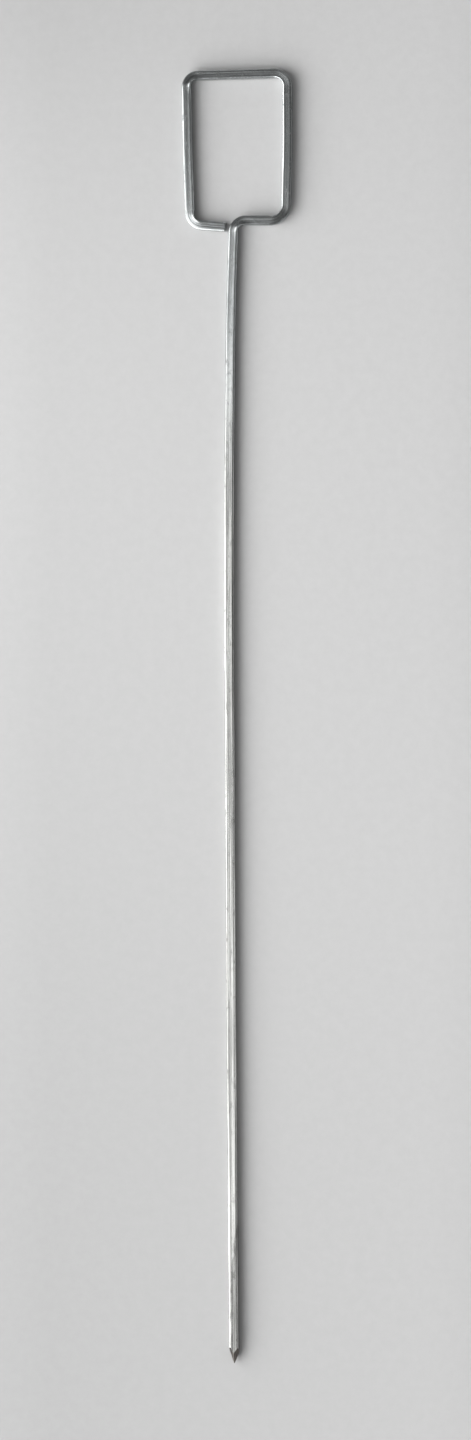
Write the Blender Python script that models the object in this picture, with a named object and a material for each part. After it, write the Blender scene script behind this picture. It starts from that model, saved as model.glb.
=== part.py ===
"""Pricking iron: one length of square steel bar with a long shank, a ground point at one end and
a loop handle bent at the other. It lies flat on its side, as on a bench.

The bar is divided where its bends begin and end, so that each stretch is a named solid. X runs
across the handle, Y along the shank towards the handle, Z up. Lengths are in metres.
"""

import math
from typing import NamedTuple

import bmesh
import bpy
from mathutils import Matrix, Vector

# The bar.
BAR = 0.0060  # side of the square section
BAR_CORNER = 0.0011  # radius along its four long edges
CORNER_STEPS = 4
STRETCH_GAP = 0.0003  # between one stretch and the next
BEND_STEP = math.radians(9)  # most that a bend turns from one section to the next

# The point, ground to a pyramid whose ridges run out in the middle of the bar's four faces.
POINT_STRETCH = 0.0100  # the stretch that carries it
TIP_WIDTH = 0.0004  # a worn tip, not a needle
RIDGE_LEFT = 0.0088  # length of each ridge, from the tip to where it meets its face
RIDGE_RIGHT = 0.0066
RIDGE_TOP = 0.0069
RIDGE_UNDER = 0.0075
FACET_BULGE = 1.4  # 1 is flat facets, 2 is a round cone
FACETS = 16

STEEL = (0.62, 0.62, 0.61)
GROUND_STEEL = (0.34, 0.32, 0.30)


class Corner(NamedTuple):
    """A corner of the bar's axis, the radius it is bent to, and the stretches it starts."""

    x: float
    y: float
    radius: float
    bend: str = ""  # name of the bend; a slight sway has none and stays within its stretch
    run: str = ""  # name of the stretch after the bend


# The bar's axis, from the tip, up the shank and round the handle to the cut end.
ROUTE = (
    Corner(-0.0018, -0.4039, 0, run="shank"),
    Corner(-0.0037, -0.1683, 30.0),
    Corner(-0.0053, 0.1103, 10.4),
    Corner(-0.0039, 0.2597, 2.6),
    Corner(-0.0020, 0.3096, 0.0076, "neck_bend", "right_foot"),
    Corner(0.0306, 0.3090, 0.0100, "lower_right_bend", "right_side"),
    Corner(0.0318, 0.3542, 0.78),
    Corner(0.0316, 0.4010, 0.0086, "upper_right_bend", "top_bar"),
    Corner(-0.0319, 0.4002, 0.0070, "upper_left_bend", "left_side"),
    Corner(-0.0312, 0.3540, 1.1),
    Corner(-0.0295, 0.3074, 0.0080, "lower_left_bend", "left_foot"),
    Corner(-0.0072, 0.3054, 0),
)


class Bend(NamedTuple):
    """The arc that rounds one corner of the route."""

    start: Vector
    end: Vector
    centre: Vector
    angle: float


def bend_at(before, corner, after):
    """The arc of the corner's radius that touches the axis on both sides of it."""
    here = Vector((corner.x, corner.y, BAR / 2))
    arriving = (here - Vector((before.x, before.y, BAR / 2))).normalized()
    leaving = (Vector((after.x, after.y, BAR / 2)) - here).normalized()
    turn = arriving.cross(leaving).z
    angle = math.copysign(arriving.angle(leaving), turn)
    reach = corner.radius * math.tan(abs(angle) / 2)
    start = here - arriving * reach
    left = Vector((-arriving.y, arriving.x, 0))
    centre = start + left * math.copysign(corner.radius, turn)
    return Bend(start, here + leaving * reach, centre, angle)


def bar_end(bm, place, heading):
    """A face of the bar's section, a square with round corners, square to heading."""
    side = Vector((-heading.y, heading.x, 0))
    inner = BAR / 2 - BAR_CORNER
    points = []
    for quarter in range(4):
        turn = quarter * math.pi / 2
        corner = Matrix.Rotation(turn, 2) @ Vector((inner, inner))
        for step in range(CORNER_STEPS + 1):
            angle = turn + step / CORNER_STEPS * math.pi / 2
            across = corner.x + BAR_CORNER * math.cos(angle)
            up = corner.y + BAR_CORNER * math.sin(angle)
            points.append(bm.verts.new(place + side * across + Vector((0, 0, up))))
    return bm.faces.new(points)


def run_to(bm, face, place):
    """Extrudes the bar straight on from face to place, and returns the face it ends on."""
    way = place - face.calc_center_median()
    grown = bmesh.ops.extrude_face_region(bm, geom=[face, *face.edges])["geom"]
    verts = [item for item in grown if isinstance(item, bmesh.types.BMVert)]
    bmesh.ops.translate(bm, verts=verts, vec=way)
    return next(item for item in grown if isinstance(item, bmesh.types.BMFace))


def bend_round(bm, face, bend):
    """Spins the bar round the bend's centre, and returns the face it ends on."""
    steps = math.ceil(abs(bend.angle) / BEND_STEP)
    spun = bmesh.ops.spin(
        bm,
        geom=[face, *face.edges],
        cent=bend.centre,
        axis=(0, 0, 1),
        angle=bend.angle,
        steps=steps,
    )["geom_last"]
    return next(item for item in spun if isinstance(item, bmesh.types.BMFace))


def steel(name, color, roughness):
    material = bpy.data.materials.new(name)
    material.use_nodes = True
    shader = material.node_tree.nodes["Principled BSDF"]
    shader.inputs["Base Color"].default_value = (*color, 1)
    shader.inputs["Metallic"].default_value = 1
    shader.inputs["Roughness"].default_value = roughness
    return material


def finish(bm, name, color=STEEL, roughness=0.32):
    """Makes the mesh an object of its own, closed at its first end and in its own material."""
    bmesh.ops.holes_fill(bm, edges=[edge for edge in bm.edges if edge.is_boundary])
    bm.normal_update()
    bmesh.ops.recalc_face_normals(bm, faces=bm.faces)
    if bm.calc_volume(signed=True) < 0:
        bmesh.ops.reverse_faces(bm, faces=bm.faces)
    mesh = bpy.data.meshes.new(name)
    bm.to_mesh(mesh)
    bm.free()
    mesh.shade_smooth()
    mesh.set_sharp_from_angle(angle=math.radians(35))
    mesh.materials.append(steel(name + "_steel", color, roughness))
    made = bpy.data.objects.new(name, mesh)
    bpy.context.scene.collection.objects.link(made)
    return made


def stretch(name, start, end, sways=()):
    """A stretch of bar from start to end, round any slight sways between them."""
    bm = bmesh.new()
    first = sways[0].start if sways else end
    face = bar_end(bm, start, (first - start).normalized())
    for sway in sways:
        face = run_to(bm, face, sway.start)
        face = bend_round(bm, face, sway)
    run_to(bm, face, end)
    return finish(bm, name)


def bend_stretch(name, bend):
    """A bend as a solid of its own, from where it begins to where it ends."""
    bm = bmesh.new()
    outward = (bend.start - bend.centre).normalized()
    heading = Vector((-outward.y, outward.x, 0)) * math.copysign(1, bend.angle)
    face = bar_end(bm, bend.start, heading)
    bend_round(bm, face, bend)
    return finish(bm, name)


def point_stretch(name, tip, heading):
    """The last stretch of the bar, cut by the surface that the point was ground to."""
    bm = bmesh.new()
    face = bar_end(bm, tip, heading)
    run_to(bm, face, tip + heading * POINT_STRETCH)
    made = finish(bm, name, GROUND_STEEL, 0.5)

    depth = POINT_STRETCH * 1.5
    bm = bmesh.new()
    bmesh.ops.create_cone(
        bm, cap_ends=True, segments=FACETS, radius1=1, radius2=TIP_WIDTH / 2, depth=depth
    )
    for vert in bm.verts:
        if vert.co.z > 0:
            continue
        across = math.copysign(abs(vert.co.x) ** (2 / FACET_BULGE), vert.co.x)
        up = math.copysign(abs(vert.co.y) ** (2 / FACET_BULGE), vert.co.y)
        ridge_across = RIDGE_LEFT if across < 0 else RIDGE_RIGHT
        ridge_up = RIDGE_UNDER if up < 0 else RIDGE_TOP
        vert.co.x = across * depth * BAR / 2 / ridge_across
        vert.co.y = up * depth * BAR / 2 / ridge_up
    right = heading.cross(Vector((0, 0, 1)))
    turned = Matrix((right, Vector((0, 0, 1)), -heading)).transposed().to_4x4()
    bm.transform(Matrix.Translation(tip + heading * depth / 2) @ turned)
    grinding = finish(bm, name + "_grinding")
    grinding.hide_render = True
    grinding.display_type = "WIRE"

    cut = made.modifiers.new("ground", "BOOLEAN")
    cut.operation = "INTERSECT"
    cut.object = grinding
    return made


def bar_along(route):
    """Every stretch of the bar, in order from the point to the cut end."""
    tip = Vector((route[0].x, route[0].y, BAR / 2))
    heading = (Vector((route[1].x, route[1].y, BAR / 2)) - tip).normalized()
    made = [point_stretch("point", tip, heading)]
    run, start = route[0].run, tip + heading * (POINT_STRETCH + STRETCH_GAP)
    sways = []
    for before, corner, after in zip(route, route[1:], route[2:]):
        bend = bend_at(before, corner, after)
        if not corner.bend:
            sways.append(bend)
            continue
        arriving = (Vector((corner.x, corner.y, BAR / 2)) - bend.start).normalized()
        leaving = (bend.end - Vector((corner.x, corner.y, BAR / 2))).normalized()
        made.append(stretch(run, start, bend.start - arriving * STRETCH_GAP, sways))
        made.append(bend_stretch(corner.bend, bend))
        run, start = corner.run, bend.end + leaving * STRETCH_GAP
        sways = []
    end = Vector((route[-1].x, route[-1].y, BAR / 2))
    made.append(stretch(run, start, end, sways))
    return made


def main():
    for old in list(bpy.data.objects):
        bpy.data.objects.remove(old)
    iron = bpy.data.objects.new("iron", None)
    bpy.context.scene.collection.objects.link(iron)
    for piece in bar_along(ROUTE):
        piece.parent = iron


main()
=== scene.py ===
"""Looks of a pricking iron: one square steel bar, ground to a point and bent round a loop handle.

The packed CAD part is the frame. Each piece here takes the place of one of its stretches of bar,
and neighbours meet end to end, so that the bar runs on unbroken. A piece is modelled straight,
along +X from the tip, and is then carried round the route that the bar was bent to. Lengths are
in metres, and distances along the bar are from its tip.
"""

import math
from typing import NamedTuple

import bmesh
import bpy
from mathutils import Matrix, Vector, noise


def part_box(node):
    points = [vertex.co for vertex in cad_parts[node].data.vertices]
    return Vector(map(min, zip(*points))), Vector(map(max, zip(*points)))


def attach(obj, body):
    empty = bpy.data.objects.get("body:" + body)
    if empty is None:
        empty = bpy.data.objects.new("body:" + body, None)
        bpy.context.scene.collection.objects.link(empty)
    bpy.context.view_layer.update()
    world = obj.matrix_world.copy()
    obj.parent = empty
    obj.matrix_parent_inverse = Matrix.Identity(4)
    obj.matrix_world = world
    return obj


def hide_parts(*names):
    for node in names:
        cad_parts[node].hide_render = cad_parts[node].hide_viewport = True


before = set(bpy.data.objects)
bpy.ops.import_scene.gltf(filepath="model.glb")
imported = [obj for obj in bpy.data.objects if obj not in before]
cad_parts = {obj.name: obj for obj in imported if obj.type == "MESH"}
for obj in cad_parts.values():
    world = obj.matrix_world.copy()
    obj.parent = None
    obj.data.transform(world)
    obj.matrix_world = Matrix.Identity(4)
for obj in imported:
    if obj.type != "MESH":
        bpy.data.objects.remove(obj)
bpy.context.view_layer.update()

bl_info = {
    "name": "Pricking iron",
    "version": (1, 0, 0),
    "blender": (4, 5, 0),
    "location": "3D View > Sidebar > Pricking Iron",
    "description": "Square steel bar ground to a point and bent round a loop handle",
    "category": "Object",
}

BODY = "root"
FIT = 0.0010  # most that a piece's box may differ from that of the stretch it stands for

# The bar's axis, as the CAD part has it: x, y, bend radius, name of the bend, name of the stretch
# after it. A sway has no name.
ROUTE = (
    (-0.0018, -0.4039, 0, "", "point"),
    (-0.0037, -0.1683, 30.0, "", ""),
    (-0.0053, 0.1103, 10.4, "", ""),
    (-0.0039, 0.2597, 2.6, "", ""),
    (-0.0020, 0.3096, 0.0076, "neck_bend", "right_foot"),
    (0.0306, 0.3090, 0.0100, "lower_right_bend", "right_side"),
    (0.0318, 0.3542, 0.78, "", ""),
    (0.0316, 0.4010, 0.0086, "upper_right_bend", "top_bar"),
    (-0.0319, 0.4002, 0.0070, "upper_left_bend", "left_side"),
    (-0.0312, 0.3540, 1.1, "", ""),
    (-0.0295, 0.3074, 0.0080, "lower_left_bend", "left_foot"),
    (-0.0072, 0.3054, 0, "", ""),
)
POINT_STRETCH = 0.0100  # of the bar, before the shank's stretch begins
BENDS = {  # how much the metal is swollen at the inside of each
    "neck_bend": 1.3,
    "lower_right_bend": 0.4,
    "upper_right_bend": 0.8,
    "upper_left_bend": 1.4,
    "lower_left_bend": 1.3,
}
LOOP_RUNS = ("right_foot", "right_side", "top_bar", "left_side", "left_foot")

# Modelling steps.
RUN_STEP = 0.0025
BEND_STEP = math.radians(4)
CORNER_STEPS = 8
GRIND_STEPS = 16  # cuts round the point
SHARP_ANGLE = math.radians(25)
SAME_PLACE = 1e-7  # nearer than this, two points are one
CUT_ROUNDING = 0.00025  # taken off the rim of the cut end
CUT_BAND = 0.0006  # of the bar before the cut end, that shades with its round rim
STRIPS = (-0.0013, -0.0007, 0.0, 0.0007, 0.0013)  # where a flat face is divided along its length

# How the bar isn't quite true. Pairs are a distance along the bar and a value there.
TWIST = (  # degrees that the top face leans to the left of the way along
    (0.00, 0.6),
    (0.07, 0.9),
    (0.11, 1.8),
    (0.28, 1.8),
    (0.42, 0.9),
    (0.58, 0.3),
    (0.70, 0.0),
    (0.74, 0.0),
)
END_THINNING = 0.05  # of the width, over the last stretch before the cut end
END_THINNED = 0.014
BEND_MARGIN = 0.0035  # metal moves this far beyond a bend
WAVE = 0.00006  # how far it wanders to either side
WAVE_LENGTH = 0.045
LEAN = 0.9  # degrees that it leans either way besides its twist
LEAN_LENGTH = 0.07

# Where the bar's finish changes, as a start and an end along it.
STAIN_FADES = (0.05, 0.10)  # the stained patch near the point
CAST_COMES = (0.50, 0.68)  # the handle's cast

# The stage.
FLOOR_SIZE = 40
FLOOR_DROP = 0.00002  # below the bar, so that the two never share a plane
FLOOR_MIDDLE = (0.15, 0.46)  # half its width and half its length, where it isn't glowing
FLOOR_BLEND = 0.22  # over which it starts to glow
FLOOR_FADES = (0.12, 0.45)  # how far from the middle its colour still changes, across and along
PANEL_FOOT = (math.radians(7), math.radians(15))  # angles over the floor where it brightens
PANEL_TOP = (math.radians(38), math.radians(90))  # and where it fades
SOFT_END = 0.2  # over which the light panels fade out at the handle's end
ROOM_SEEN = 0.5  # brightness of the room as the camera sees it
VIEW_END = 200


class Leg(NamedTuple):
    """A straight or evenly bent leg of the bar's axis."""

    start: float  # along the bar
    length: float
    place: Vector
    heading: float  # angle from +X
    turn: float  # angle that it bends to the left, 0 if straight


class Span(NamedTuple):
    """Where a named stretch starts and ends along the bar."""

    start: float
    end: float
    turn: float  # a bend's angle, 0 for a run


def lay_out(route):
    """The legs of the bar's axis, and the span of each named stretch."""
    legs, spans = [], {}
    along, run, run_start = 0.0, "point", 0.0
    place = Vector(route[0][:2])

    def straight_to(target):
        nonlocal along, place
        way = target - place
        legs.append(Leg(along, way.length, place, math.atan2(way.y, way.x), 0.0))
        along, place = along + way.length, target

    for before, corner, after in zip(route, route[1:], route[2:]):
        here = Vector(corner[:2])
        arriving = (here - Vector(before[:2])).normalized()
        leaving = (Vector(after[:2]) - here).normalized()
        turn = math.atan2(arriving.cross(leaving), arriving.dot(leaving))
        reach = corner[2] * math.tan(abs(turn) / 2)
        straight_to(here - arriving * reach)
        length = corner[2] * abs(turn)
        if corner[3]:
            spans[run] = Span(run_start, along, 0.0)
            spans[corner[3]] = Span(along, along + length, turn)
            run, run_start = corner[4], along + length
        legs.append(Leg(along, length, place, math.atan2(arriving.y, arriving.x), turn))
        along, place = along + length, here + leaving * reach
    straight_to(Vector(route[-1][:2]))
    spans[run] = Span(run_start, along, 0.0)
    spans["shank"] = Span(POINT_STRETCH, spans["point"].end, 0.0)
    spans["point"] = Span(0.0, POINT_STRETCH, 0.0)
    return legs, spans


LEGS, SPANS = lay_out(ROUTE)
BAR_LENGTH = LEGS[-1].start + LEGS[-1].length


def axis_at(along):
    """The place on the bar's axis at a distance along it, and the heading there."""
    leg = next((leg for leg in LEGS if along <= leg.start + leg.length), LEGS[-1])
    on = along - leg.start
    if not leg.turn:
        way = Vector((math.cos(leg.heading), math.sin(leg.heading)))
        return leg.place + way * on, leg.heading
    curve = leg.turn / leg.length
    heading = leg.heading + curve * on
    dx = (math.sin(heading) - math.sin(leg.heading)) / curve
    dy = (math.cos(leg.heading) - math.cos(heading)) / curve
    return leg.place + Vector((dx, dy)), heading


def bend_work(along):
    """How much the bar is worked by a bend here, at most 1, and how much it swells inside it.

    Both are above 0 where it bends to the left and below 0 where it bends to the right.
    """
    for name, swollen in BENDS.items():
        start, end, turn = SPANS[name]
        off = abs(along - (start + end) / 2) / ((end - start) / 2 + BEND_MARGIN)
        if off < 1:
            work = math.copysign(math.cos(off * math.pi / 2) ** 2, turn)
            return work, work * swollen
    return 0.0, 0.0


def eased(pairs, along):
    """The value of a table at a distance along the bar, eased between its entries."""
    for (start, low), (end, high) in zip(pairs, pairs[1:]):
        if along < end:
            share = max(0.0, (along - start) / (end - start))
            return low + (high - low) * share * share * (3 - 2 * share)
    return pairs[-1][1]


def drift(along, length, lane):
    """A slow random drift from -1 to 1 along the bar."""
    return 1.6 * noise.noise(Vector((along / length, lane * 7.3, 0.5)))


# Settings


class BarSettings(bpy.types.PropertyGroup):
    """Sizes of the bar, its point and its bends."""

    side: bpy.props.FloatProperty(
        name="Side",
        description="Side of the square section",
        default=round(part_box("shank")[1].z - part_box("shank")[0].z, 5),
        unit="LENGTH",
        precision=4,
    )
    corner: bpy.props.FloatProperty(
        name="Corner",
        description="Radius along the four long edges",
        default=0.0011,
        unit="LENGTH",
        precision=4,
    )
    hollow: bpy.props.FloatProperty(
        name="Hollow",
        description="Depth to which each face is hollowed along its middle",
        default=0.00003,
        unit="LENGTH",
        precision=5,
    )
    ridges: bpy.props.FloatVectorProperty(
        name="Ridges",
        description="Length of the point's left, top, right and under ridges",
        default=(0.0088, 0.0069, 0.0066, 0.0075),
        size=4,
        unit="LENGTH",
        precision=4,
    )
    tip: bpy.props.FloatProperty(
        name="Tip",
        description="Width of the worn tip",
        default=0.0004,
        unit="LENGTH",
        precision=4,
    )
    bulge: bpy.props.FloatProperty(
        name="Bulge",
        description="Roundness of the ground faces: 1 is flat, 2 is a round cone",
        default=1.4,
        min=1.0,
        max=2.0,
    )
    rise: bpy.props.FloatProperty(
        name="Rise",
        description="Share by which the top rises inside a bend. It sinks half as much outside",
        default=0.13,
        subtype="FACTOR",
        min=0.0,
        max=0.3,
    )
    pinch: bpy.props.FloatProperty(
        name="Pinch",
        description="Share of half the width by which the inside of a bend is pressed in",
        default=0.22,
        subtype="FACTOR",
        min=0.0,
        max=0.5,
    )


class FinishSettings(bpy.types.PropertyGroup):
    """Colours and polish of the steel."""

    bright: bpy.props.FloatVectorProperty(
        name="Bright steel",
        description="Colour of the steel where it is rubbed clean",
        default=(0.68, 0.685, 0.665),
        subtype="COLOR",
        min=0.0,
        max=1.0,
    )
    dull: bpy.props.FloatVectorProperty(
        name="Dull steel",
        description="Colour of the steel under its light tarnish",
        default=(0.26, 0.26, 0.25),
        subtype="COLOR",
        min=0.0,
        max=1.0,
    )
    cast: bpy.props.FloatVectorProperty(
        name="Cast",
        description="Colour that the steel's own is multiplied by at the handle",
        default=(0.84, 0.87, 0.90),
        subtype="COLOR",
        min=0.0,
        max=1.0,
    )
    polish: bpy.props.FloatProperty(
        name="Roughness",
        description="Roughness of the clean steel",
        default=0.17,
        subtype="FACTOR",
        min=0.0,
        max=1.0,
    )
    ground: bpy.props.FloatVectorProperty(
        name="Ground steel",
        description="Colour of the faces ground for the point",
        default=(0.13, 0.12, 0.11),
        subtype="COLOR",
        min=0.0,
        max=1.0,
    )


class StageSettings(bpy.types.PropertyGroup):
    """The floor, the light and the camera."""

    paper_near: bpy.props.FloatVectorProperty(
        name="Floor at the point",
        description="Colour of the pale floor at the end where the point is",
        default=(0.50, 0.50, 0.50),
        subtype="COLOR",
        min=0.0,
        max=1.0,
    )
    paper_far: bpy.props.FloatVectorProperty(
        name="Floor at the handle",
        description="Colour of the pale floor at the end where the handle is",
        default=(0.79, 0.79, 0.79),
        subtype="COLOR",
        min=0.0,
        max=1.0,
    )
    far_floor: bpy.props.FloatProperty(
        name="Far floor",
        description="Brightness of the floor beyond the middle",
        default=0.6,
        min=0.0,
    )
    panel_light: bpy.props.FloatProperty(
        name="Light panel",
        description="Brightness of the panel at the left",
        default=5.1,
        min=0.0,
    )
    panel_away: bpy.props.FloatProperty(
        name="Panel distance",
        description="Distance of the light panel to the left of the iron",
        default=0.4,
        unit="LENGTH",
    )
    panel_span: bpy.props.FloatVectorProperty(
        name="Panel ends",
        description="Where the light panel starts and ends along Y",
        default=(-1.4, 0.58),
        size=2,
        unit="LENGTH",
    )
    fill_share: bpy.props.FloatProperty(
        name="Fill",
        description="Brightness of the panel at the right, as a share of the left one's",
        default=0.17,
        subtype="FACTOR",
        min=0.0,
        max=1.0,
    )
    fill_span: bpy.props.FloatVectorProperty(
        name="Fill ends",
        description="Where the panel at the right starts and ends along Y",
        default=(-1.2, 0.1),
        size=2,
        unit="LENGTH",
    )
    panel_height: bpy.props.FloatProperty(
        name="Panel height",
        description="Height of the light panel",
        default=5.0,
        unit="LENGTH",
    )
    room_light: bpy.props.FloatProperty(
        name="Room",
        description="Brightness of the room, which is twice this at the horizon and less overhead",
        default=0.17,
        min=0.0,
    )
    aim: bpy.props.FloatVectorProperty(
        name="Aim",
        description="Point on the floor at the middle of the view",
        default=(-0.00156, -0.00233, 0.0),
        subtype="XYZ",
        unit="LENGTH",
        precision=5,
    )
    height: bpy.props.FloatProperty(
        name="Height",
        description="Height of the camera over the floor",
        default=3.5,
        unit="LENGTH",
    )
    tilt: bpy.props.FloatProperty(
        name="Tilt",
        description="Angle by which the camera stands off to the right of straight above",
        default=math.radians(8),
        subtype="ANGLE",
    )
    lens: bpy.props.FloatProperty(
        name="Lens",
        description="Focal length",
        default=141.4,
        subtype="DISTANCE_CAMERA",
    )


# Shader groups


def joined(tree, kind, values=(), **settings):
    """A new node with its settings, and its inputs set or linked in order or by name."""
    made = tree.nodes.new(kind)
    for name, value in settings.items():
        setattr(made, name, value)
    pairs = values.items() if isinstance(values, dict) else enumerate(values)
    for key, value in pairs:
        if isinstance(value, bpy.types.NodeSocket):
            tree.links.new(value, made.inputs[key])
        elif value is not None:
            made.inputs[key].default_value = value
    return made


def math_node(tree, operation, *values, clamp=False):
    made = joined(tree, "ShaderNodeMath", values, operation=operation, use_clamp=clamp)
    return made.outputs[0]


def scaled(tree, vector, scale):
    made = joined(tree, "ShaderNodeVectorMath", (vector, scale), operation="MULTIPLY")
    return made.outputs[0]


def noisy(tree, vector, scale, detail=2.0, roughness=0.5):
    values = {"Vector": vector, "Scale": scale, "Detail": detail, "Roughness": roughness}
    return joined(tree, "ShaderNodeTexNoise", values).outputs["Fac"]


def ranged(tree, value, low, high, to_low=0.0, to_high=1.0, ease="SMOOTHSTEP"):
    values = (value, low, high, to_low, to_high)
    made = joined(tree, "ShaderNodeMapRange", values, interpolation_type=ease)
    return made.outputs[0]


def mixed(tree, share, low, high, blend="MIX"):
    made = joined(tree, "ShaderNodeMix", data_type="RGBA", blend_type=blend)
    for name, value in (("Factor_Float", share), ("A_Color", low), ("B_Color", high)):
        socket = next(item for item in made.inputs if item.identifier == name)
        if isinstance(value, bpy.types.NodeSocket):
            tree.links.new(value, socket)
        else:
            socket.default_value = value
    return next(item for item in made.outputs if item.identifier == "Result_Color")


def new_group(name, inputs, outputs):
    """An empty shader group, with its input and output nodes."""
    tree = bpy.data.node_groups.new(name, "ShaderNodeTree")
    for way, sockets in (("INPUT", inputs), ("OUTPUT", outputs)):
        for socket, kind in sockets:
            tree.interface.new_socket(socket, in_out=way, socket_type="NodeSocket" + kind)
    return tree, tree.nodes.new("NodeGroupInput").outputs, tree.nodes.new("NodeGroupOutput").inputs


def draw_line_group():
    """Fine lines along the bar, left by the die that it was drawn through."""
    found = bpy.data.node_groups.get("draw_lines")
    if found:
        return found
    tree, given, wanted = new_group("draw_lines", [("Place", "Vector")], [("Lines", "Float")])
    coarse = noisy(tree, scaled(tree, given["Place"], (7, 700, 700)), 1.0, 2.0)
    fine = noisy(tree, scaled(tree, given["Place"], (30, 3600, 3600)), 1.0, 1.0)
    both = math_node(tree, "MULTIPLY_ADD", fine, 0.4, math_node(tree, "MULTIPLY", coarse, 0.9))
    tree.links.new(ranged(tree, both, 0.5, 0.8), wanted["Lines"])
    return tree


def tarnish_group():
    """Cloudy patches of tarnish, with fine specks in them."""
    found = bpy.data.node_groups.get("tarnish")
    if found:
        return found
    inputs = [("Place", "Vector"), ("Scale", "Float"), ("Spread", "Float")]
    tree, given, wanted = new_group("tarnish", inputs, [("Patches", "Float"), ("Specks", "Float")])
    stretched = scaled(tree, given["Place"], (0.35, 1, 1))
    clouds = noisy(tree, stretched, given["Scale"], 4.0, 0.62)
    low = math_node(tree, "SUBTRACT", 0.62, given["Spread"])
    high = math_node(tree, "ADD", low, 0.2)
    tree.links.new(ranged(tree, clouds, low, high), wanted["Patches"])
    specks = noisy(tree, given["Place"], math_node(tree, "MULTIPLY", given["Scale"], 9.0), 2.0)
    tree.links.new(ranged(tree, specks, 0.6, 0.75), wanted["Specks"])
    return tree


def grouped(tree, group, values):
    made = tree.nodes.new("ShaderNodeGroup")
    made.node_tree = group
    for name, value in values.items():
        if isinstance(value, bpy.types.NodeSocket):
            tree.links.new(value, made.inputs[name])
        else:
            made.inputs[name].default_value = value
    return made.outputs


def new_material(name):
    material = bpy.data.materials.new(name)
    material.use_nodes = True
    return material, material.node_tree, material.node_tree.nodes["Principled BSDF"]


def bar_steel():
    """Bright drawn steel with draw lines, light tarnish and marks where it was bent."""
    found = bpy.data.materials.get("drawn_bar")
    if found:
        return found
    finish = bpy.context.scene.iron_finish
    material, tree, shader = new_material("drawn_bar")
    place = joined(tree, "ShaderNodeAttribute", attribute_name="bar_place").outputs["Vector"]
    worked = joined(tree, "ShaderNodeAttribute", attribute_name="bend_work").outputs["Fac"]

    lines = grouped(tree, draw_line_group(), {"Place": place})["Lines"]
    tarnish = grouped(tree, tarnish_group(), {"Place": place, "Scale": 330.0, "Spread": 0.10})
    parts = joined(tree, "ShaderNodeSeparateXYZ", (place,)).outputs
    blotches = noisy(tree, scaled(tree, place, (0.35, 1, 1)), 260.0, 4.0, 0.6)
    inward = math_node(tree, "ADD", parts["Y"], -0.003)
    edge = math_node(tree, "MULTIPLY_ADD", blotches, 0.006, inward)
    rubbed = math_node(tree, "ADD", ranged(tree, parts["X"], *STAIN_FADES, 0.0, 0.005), edge)
    stained = ranged(tree, rubbed, 0.0008, 0.0018, 0.6, 0.0)
    duller = math_node(tree, "MULTIPLY_ADD", tarnish["Patches"], 0.7, stained)
    duller = math_node(tree, "MULTIPLY_ADD", worked, -0.25, duller, clamp=True)
    color = mixed(tree, duller, (*finish.bright, 1), (*finish.dull, 1))
    shade = ranged(tree, lines, 0.0, 1.0, 0.5, 1.1)
    shades = joined(tree, "ShaderNodeCombineColor", (shade,) * 3).outputs[0]
    color = mixed(tree, 1.0, color, shades, "MULTIPLY")
    cool = ranged(tree, parts["X"], *CAST_COMES)
    color = mixed(tree, cool, color, mixed(tree, 1.0, color, (*finish.cast, 1), "MULTIPLY"))
    tree.links.new(color, shader.inputs["Base Color"])

    rough = math_node(tree, "MULTIPLY_ADD", lines, -0.06, finish.polish + 0.06)
    rough = math_node(tree, "MULTIPLY_ADD", tarnish["Patches"], 0.10, rough)
    rough = math_node(tree, "MULTIPLY_ADD", worked, 0.05, rough)
    tree.links.new(rough, shader.inputs["Roughness"])

    dents = noisy(tree, scaled(tree, place, (0.5, 1, 1)), 260.0, 3.0, 0.55)
    relief = math_node(tree, "MULTIPLY_ADD", lines, 0.03, dents)
    bump = joined(
        tree, "ShaderNodeBump", {"Strength": 0.4, "Distance": 0.0001, "Height": relief}
    )
    tree.links.new(bump.outputs["Normal"], shader.inputs["Normal"])
    tangent = joined(tree, "ShaderNodeTangent", direction_type="UV_MAP", uv_map="round_bar")
    tree.links.new(tangent.outputs[0], shader.inputs["Tangent"])
    shader.inputs["Anisotropic"].default_value = 0.9
    shader.inputs["Metallic"].default_value = 1
    return material


def ground_steel():
    """Steel left dull and scratched by the grinding of the point."""
    finish = bpy.context.scene.iron_finish
    material, tree, shader = new_material("ground_faces")
    place = joined(tree, "ShaderNodeAttribute", attribute_name="bar_place").outputs["Vector"]
    scratches = noisy(tree, scaled(tree, place, (5200, 900, 900)), 1.0, 3.0)
    tarnish = grouped(tree, tarnish_group(), {"Place": place, "Scale": 420.0, "Spread": 0.08})
    low = tuple(part * 0.62 for part in finish.ground)
    share = math_node(tree, "MULTIPLY", tarnish["Patches"], 0.7)
    tree.links.new(mixed(tree, share, (*finish.ground, 1), (*low, 1)), shader.inputs["Base Color"])
    rough = ranged(tree, scratches, 0.3, 0.7, 0.36, 0.52)
    tree.links.new(rough, shader.inputs["Roughness"])
    bump = joined(
        tree, "ShaderNodeBump", {"Strength": 0.4, "Distance": 0.00003, "Height": scratches}
    )
    tree.links.new(bump.outputs["Normal"], shader.inputs["Normal"])
    shader.inputs["Metallic"].default_value = 1
    return material


# The bar


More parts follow.
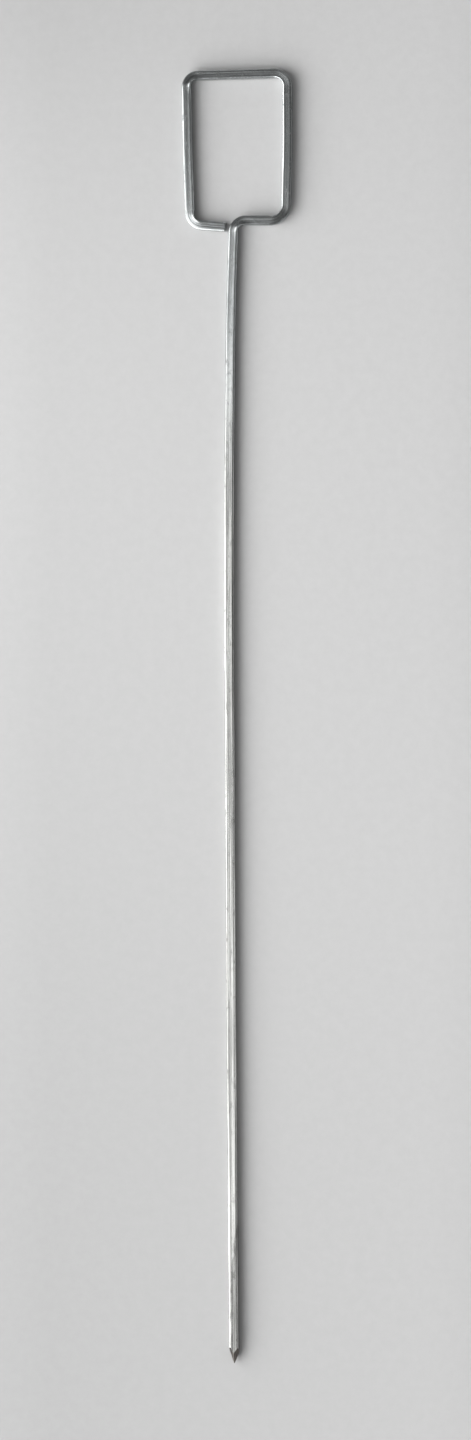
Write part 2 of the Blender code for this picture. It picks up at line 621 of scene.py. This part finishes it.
def straight_bar(bm, start, end, steps):
    """A straight square bar along +X, with round corners, divided into strips and steps."""
    bar = bpy.context.scene.iron_bar
    length = end - start
    shape = Matrix.Diagonal((length, bar.side, bar.side, 1))
    middle = Matrix.Translation(((start + end) / 2, 0, 0))
    bmesh.ops.create_cube(bm, size=1, matrix=middle @ shape)
    long_edges = [
        edge for edge in bm.edges if edge.calc_length() > length * 0.9 and lies_along(edge)
    ]
    bmesh.ops.bevel(
        bm,
        geom=long_edges,
        offset=bar.corner,
        offset_type="OFFSET",
        affect="EDGES",
        segments=CORNER_STEPS,
        profile=0.5,
        material=-1,
    )
    for across in STRIPS:
        for side in ((0, 1, 0), (0, 0, 1)):
            everything = [*bm.verts, *bm.edges, *bm.faces]
            bmesh.ops.bisect_plane(
                bm, geom=everything, plane_co=Vector(side) * across, plane_no=side
            )
    if steps > 1:
        along = [edge for edge in bm.edges if lies_along(edge)]
        bmesh.ops.subdivide_edges(bm, edges=along, cuts=steps - 1, use_grid_fill=True)


def lies_along(edge):
    way = edge.verts[1].co - edge.verts[0].co
    return abs(way.x) > 0.9 * way.length


def grind(bm):
    """Cuts the faces of the point at the bar's first end. They are made material 1."""
    bar = bpy.context.scene.iron_bar
    left, top, right, under = bar.ridges
    far = left * 2
    rays = []
    for step in range(GRIND_STEPS + 1):
        angle = step / GRIND_STEPS * math.tau
        across, up = math.cos(angle), math.sin(angle)
        out = Vector((
            far,
            math.copysign(abs(across) ** (2 / bar.bulge), across) * far * bar.side / 2,
            math.copysign(abs(up) ** (2 / bar.bulge), up) * far * bar.side / 2,
        ))
        out.y /= left if across > 0 else right
        out.z /= top if up > 0 else under
        rays.append((Vector((0, across, up)) * bar.tip / 2, out))
    for (tip, out), (_, next_out) in zip(rays, rays[1:]):
        away = (next_out - tip).cross(out - tip)
        if away.dot(Vector((0, tip.y, tip.z))) < 0:
            away.negate()
        everything = [*bm.verts, *bm.edges, *bm.faces]
        cut = bmesh.ops.bisect_plane(
            bm, geom=everything, plane_co=tip, plane_no=away, clear_outer=True
        )["geom_cut"]
        edges = [item for item in cut if isinstance(item, bmesh.types.BMEdge)]
        for face in bmesh.ops.holes_fill(bm, edges=edges)["faces"]:
            face.material_index = 1


def worked_section(along, across, up):
    """Where metal at a place in the straight bar has moved to in its section."""
    bar = bpy.context.scene.iron_bar
    half = bar.side / 2
    flat = half - bar.corner
    if abs(up) > half * 0.999:
        up -= math.copysign(bar.hollow * max(0.0, 1 - (across / flat) ** 2), up)
    elif abs(across) > half * 0.999:
        across -= math.copysign(bar.hollow * max(0.0, 1 - (up / flat) ** 2), across)
    work, swollen = bend_work(along)
    inward = abs(across) / half
    if across * work > 0:
        if up > 0:
            up *= 1 + bar.rise * abs(swollen) * inward**2 * (3 - 2 * inward)
        across *= 1 - bar.pinch * abs(work) * inward
    else:
        up *= 1 - bar.rise / 2 * abs(swollen) * inward
    across *= 1 - eased(((BAR_LENGTH - END_THINNED, 0.0), (BAR_LENGTH, END_THINNING)), along)
    lean = eased(TWIST, along) + LEAN * drift(along, LEAN_LENGTH, 1) * (1 - abs(work))
    lean = -math.radians(lean)
    turned = across * math.cos(lean) - up * math.sin(lean)
    raised = across * math.sin(lean) + up * math.cos(lean)
    lift = half + flat * abs(math.sin(lean))
    return turned + WAVE * drift(along, WAVE_LENGTH, 2), raised + lift


def carry_round(bm):
    """Works the straight bar's sections and carries them round the bar's route."""
    places = bm.verts.layers.float_vector.new("bar_place")
    works = bm.verts.layers.float.new("bend_work")
    wrap_round(bm)
    for vert in bm.verts:
        along, across, up = vert.co
        vert[places] = vert.co
        vert[works] = abs(bend_work(along)[0])
        across, up = worked_section(along, across, up)
        axis, heading = axis_at(along)
        left = Vector((-math.sin(heading), math.cos(heading)))
        vert.co = (*(axis + left * across), up)


def wrap_round(bm):
    """Lays a UV map with U round the bar and V along it. It meets under the bar."""
    uv = bm.loops.layers.uv.new("round_bar")
    for face in bm.faces:
        middle = face.calc_center_median()
        for loop in face.loops:
            along, across, up = loop.vert.co
            if up < 0 and abs(across) < 1e-6:
                across = math.copysign(1e-6, middle.y)
            loop[uv].uv = (math.atan2(across, up) / math.tau, along / 0.02)


def finish_piece(bm, name, materials):
    """Makes the piece an object that stands for the CAD stretch of the same name."""
    bmesh.ops.remove_doubles(bm, verts=bm.verts, dist=SAME_PLACE)
    bmesh.ops.recalc_face_normals(bm, faces=bm.faces)
    mesh = bpy.data.meshes.new(name + "_steel")
    bm.to_mesh(mesh)
    bm.free()
    for material in materials:
        mesh.materials.append(material)
    mesh.shade_smooth()
    mesh.set_sharp_from_angle(angle=SHARP_ANGLE)
    piece = bpy.data.objects.new(name + "_steel", mesh)
    bpy.context.scene.collection.objects.link(piece)
    for made, packed in zip(box_of(mesh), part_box(name)):
        if max(abs(part) for part in made - packed) > FIT:
            raise RuntimeError(f"{name} isn't where the CAD part has it: {made} and {packed}")
    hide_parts(name)
    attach(piece, BODY)
    return piece


def box_of(mesh):
    places = [vert.co for vert in mesh.vertices]
    return tuple(Vector(edge(part) for part in zip(*places)) for edge in (min, max))


def make_stretch(name):
    """Models one stretch of plain bar."""
    start, end, turn = SPANS[name]
    steps = max(math.ceil((end - start) / RUN_STEP), math.ceil(abs(turn) / BEND_STEP))
    bm = bmesh.new()
    straight_bar(bm, start, end, steps)
    if name == LOOP_RUNS[-1]:
        round_cut_end(bm, end)
    carry_round(bm)
    return finish_piece(bm, name, [bar_steel()])


def round_cut_end(bm, end):
    """Takes the sharpness off the edge of the bar's cut end."""
    everything = [*bm.verts, *bm.edges, *bm.faces]
    near = Vector((end - CUT_BAND, 0, 0))
    bmesh.ops.bisect_plane(bm, geom=everything, plane_co=near, plane_no=(1, 0, 0))
    rim = [
        edge
        for edge in bm.edges
        if all(abs(vert.co.x - end) < 1e-6 for vert in edge.verts)
        and any(abs(face.normal.x) < 0.5 for face in edge.link_faces)
    ]
    bmesh.ops.bevel(
        bm,
        geom=rim,
        offset=CUT_ROUNDING,
        offset_type="OFFSET",
        affect="EDGES",
        segments=3,
        profile=0.5,
        material=-1,
        clamp_overlap=True,
    )


# Operators


class IRON_OT_ground_point(bpy.types.Operator):
    """Model the end of the bar that is ground to a point"""

    bl_idname = "iron.ground_point"
    bl_label = "Ground Point"

    def execute(self, context):
        start, end, _ = SPANS["point"]
        bm = bmesh.new()
        straight_bar(bm, start, end, 1)
        grind(bm)
        carry_round(bm)
        finish_piece(bm, "point", [bar_steel(), ground_steel()])
        return {"FINISHED"}


class IRON_OT_shank(bpy.types.Operator):
    """Model the long shank"""

    bl_idname = "iron.shank"
    bl_label = "Shank"

    def execute(self, context):
        make_stretch("shank")
        return {"FINISHED"}


class IRON_OT_bends(bpy.types.Operator):
    """Model the five bends of the handle"""

    bl_idname = "iron.bends"
    bl_label = "Bends"

    def execute(self, context):
        for name in BENDS:
            make_stretch(name)
        return {"FINISHED"}


class IRON_OT_loop_runs(bpy.types.Operator):
    """Model the straight runs of the loop: its feet, sides and top bar"""

    bl_idname = "iron.loop_runs"
    bl_label = "Loop Runs"

    def execute(self, context):
        for name in LOOP_RUNS:
            make_stretch(name)
        return {"FINISHED"}


class IRON_OT_stage(bpy.types.Operator):
    """Set the pale floor, the light and the camera"""

    bl_idname = "iron.stage"
    bl_label = "Stage"

    def execute(self, context):
        stage = context.scene.iron_stage
        lay_floor(stage)
        hang_panels(stage)
        light_room(context.scene, stage)
        place_camera(context.scene, stage)
        context.scene.view_settings.view_transform = "Standard"
        return {"FINISHED"}


def lay_floor(stage):
    """A broad floor of pale paper, paler where the panel gives it less light.

    Beyond the middle, where the panels stand, it glows evenly instead of taking their light.
    """
    bm = bmesh.new()
    bmesh.ops.create_grid(bm, x_segments=2, y_segments=2, size=FLOOR_SIZE)
    bmesh.ops.translate(bm, verts=bm.verts, vec=(0, 0, -FLOOR_DROP))
    material, tree, shader = new_material("paper")
    place = joined(tree, "ShaderNodeTexCoord").outputs["Object"]
    parts = joined(tree, "ShaderNodeSeparateXYZ", (place,)).outputs
    side, length = FLOOR_FADES
    along = ranged(tree, parts["Y"], -length, length, ease="LINEAR")
    along = math_node(tree, "POWER", along, 1.7)
    color = mixed(tree, along, (*stage.paper_near, 1), (*stage.paper_far, 1))
    across = ranged(tree, parts["X"], -side, side, 0.71, 0.97, "LINEAR")
    mottle = noisy(tree, place, 150.0, 4.0, 0.7)
    shade = math_node(tree, "MULTIPLY", across, ranged(tree, mottle, 0.2, 0.8, 0.955, 1.0))
    shades = joined(tree, "ShaderNodeCombineColor", (shade,) * 3).outputs[0]
    color = mixed(tree, 1.0, color, shades, "MULTIPLY")
    past_side, past_end = (
        math_node(tree, "SUBTRACT", math_node(tree, "ABSOLUTE", parts[axis]), half)
        for axis, half in zip("XY", FLOOR_MIDDLE)
    )
    beyond = ranged(tree, math_node(tree, "MAXIMUM", past_side, past_end), 0.0, FLOOR_BLEND)
    tree.links.new(mixed(tree, beyond, color, (0, 0, 0, 1)), shader.inputs["Base Color"])
    shader.inputs["Emission Color"].default_value = (1, 1, 1, 1)
    glow = math_node(tree, "MULTIPLY", beyond, stage.far_floor)
    tree.links.new(glow, shader.inputs["Emission Strength"])
    material.cycles.emission_sampling = "NONE"
    shader.inputs["Roughness"].default_value = 0.85
    shader.inputs["Specular IOR Level"].default_value = 0.2
    set_stage(bm, "floor", material)


def hang_panels(stage):
    """A tall bright panel at the left, brightest low down, and a dim one at the right."""
    away, light = stage.panel_away, stage.panel_light
    hang_panel("light_panel", -away, stage.panel_span, stage.panel_height, light)
    hang_panel("fill_panel", away, stage.fill_span, away * 2, light * stage.fill_share)


def hang_panel(name, across, span, height, light):
    """A light panel along the iron. The camera doesn't see it, and it casts no shadow."""
    start, end = span
    bm = bmesh.new()
    middle = Matrix.Translation((across, (start + end) / 2, height / 2))
    turn = Matrix.Rotation(math.radians(90), 4, "Y")
    shape = Matrix.Diagonal((height, end - start, 1, 1))
    bmesh.ops.create_grid(bm, x_segments=1, y_segments=1, size=0.5, matrix=middle @ turn @ shape)
    material = bpy.data.materials.new(name)
    material.use_nodes = True
    tree = material.node_tree
    tree.nodes.clear()
    place = joined(tree, "ShaderNodeTexCoord").outputs["Object"]
    parts = joined(tree, "ShaderNodeSeparateXYZ", (place,)).outputs
    angle = math_node(tree, "ARCTANGENT", math_node(tree, "DIVIDE", parts["Z"], abs(across)))
    low = ranged(tree, angle, *PANEL_FOOT)
    high = ranged(tree, angle, *PANEL_TOP, 1.0, 0.0, "LINEAR")
    ending = ranged(tree, parts["Y"], end - SOFT_END, end, light, 0.0)
    strength = math_node(tree, "MULTIPLY", math_node(tree, "MULTIPLY", low, high), ending)
    glow = joined(tree, "ShaderNodeEmission", ((1, 1, 1, 1), strength))
    joined(tree, "ShaderNodeOutputMaterial", (glow.outputs[0],))
    panel = set_stage(bm, name, material)
    panel.visible_camera = panel.visible_shadow = False


def set_stage(bm, name, material):
    """Makes a stage object of the mesh."""
    mesh = bpy.data.meshes.new(name)
    bm.to_mesh(mesh)
    bm.free()
    mesh.materials.append(material)
    made = bpy.data.objects.new(name, mesh)
    bpy.context.scene.collection.objects.link(made)
    return made


def light_room(scene, stage):
    """A dim room. The camera sees it brighter than it lights the scene."""
    world = bpy.data.worlds.new("room")
    world.use_nodes = True
    scene.world = world
    tree = world.node_tree
    tree.nodes.clear()
    way = joined(tree, "ShaderNodeTexCoord").outputs["Generated"]
    up = joined(tree, "ShaderNodeSeparateXYZ", (way,)).outputs["Z"]
    overhead = math_node(tree, "MULTIPLY", up, up)
    horizon, top = stage.room_light * 2.0, stage.room_light * 0.35
    light = ranged(tree, overhead, 0.0, 1.0, horizon, top, "LINEAR")
    seen = joined(tree, "ShaderNodeLightPath").outputs["Is Camera Ray"]
    strength = ranged(tree, seen, 0.0, 1.0, light, ROOM_SEEN, "LINEAR")
    background = joined(tree, "ShaderNodeBackground", ((1, 1, 1, 1), strength))
    joined(tree, "ShaderNodeOutputWorld", (background.outputs[0],))


def place_camera(scene, stage):
    """The camera looks down from above and a little to the right, the point at the bottom."""
    camera = bpy.data.objects.new("camera", bpy.data.cameras.new("camera"))
    camera.data.lens = stage.lens
    back = Vector((math.sin(stage.tilt), 0, math.cos(stage.tilt)))
    up = Vector((0, 1, 0))
    turned = Matrix((up.cross(back), up, back)).transposed().to_4x4()
    place = Vector(stage.aim) + back * (stage.height / back.z)
    camera.matrix_world = Matrix.Translation(place) @ turned
    camera.data.clip_end = VIEW_END
    scene.collection.objects.link(camera)
    scene.camera = camera


class IRON_PT_panel(bpy.types.Panel):
    """Lists the pieces of the iron and its settings."""

    bl_idname = "IRON_PT_panel"
    bl_label = "Pricking Iron"
    bl_space_type = "VIEW_3D"
    bl_region_type = "UI"
    bl_category = "Pricking Iron"

    def draw(self, context):
        layout = self.layout
        for operator in OPERATORS:
            layout.operator(operator.bl_idname)
        for group in SETTINGS:
            box = layout.box()
            box.label(text=group.__doc__)
            settings = getattr(context.scene, SETTINGS[group])
            for name in group.__annotations__:
                box.prop(settings, name)


OPERATORS = (
    IRON_OT_ground_point,
    IRON_OT_shank,
    IRON_OT_bends,
    IRON_OT_loop_runs,
    IRON_OT_stage,
)
SETTINGS = {
    BarSettings: "iron_bar",
    FinishSettings: "iron_finish",
    StageSettings: "iron_stage",
}
CLASSES = (*SETTINGS, *OPERATORS, IRON_PT_panel)


def register():
    for made in CLASSES:
        bpy.utils.register_class(made)
    for group, name in SETTINGS.items():
        setattr(bpy.types.Scene, name, bpy.props.PointerProperty(type=group))


def unregister():
    for name in SETTINGS.values():
        delattr(bpy.types.Scene, name)
    for made in reversed(CLASSES):
        bpy.utils.unregister_class(made)


def main():
    register()
    bpy.ops.iron.ground_point()
    bpy.ops.iron.shank()
    bpy.ops.iron.bends()
    bpy.ops.iron.loop_runs()
    bpy.ops.iron.stage()


if __name__ == "__main__":
    main()
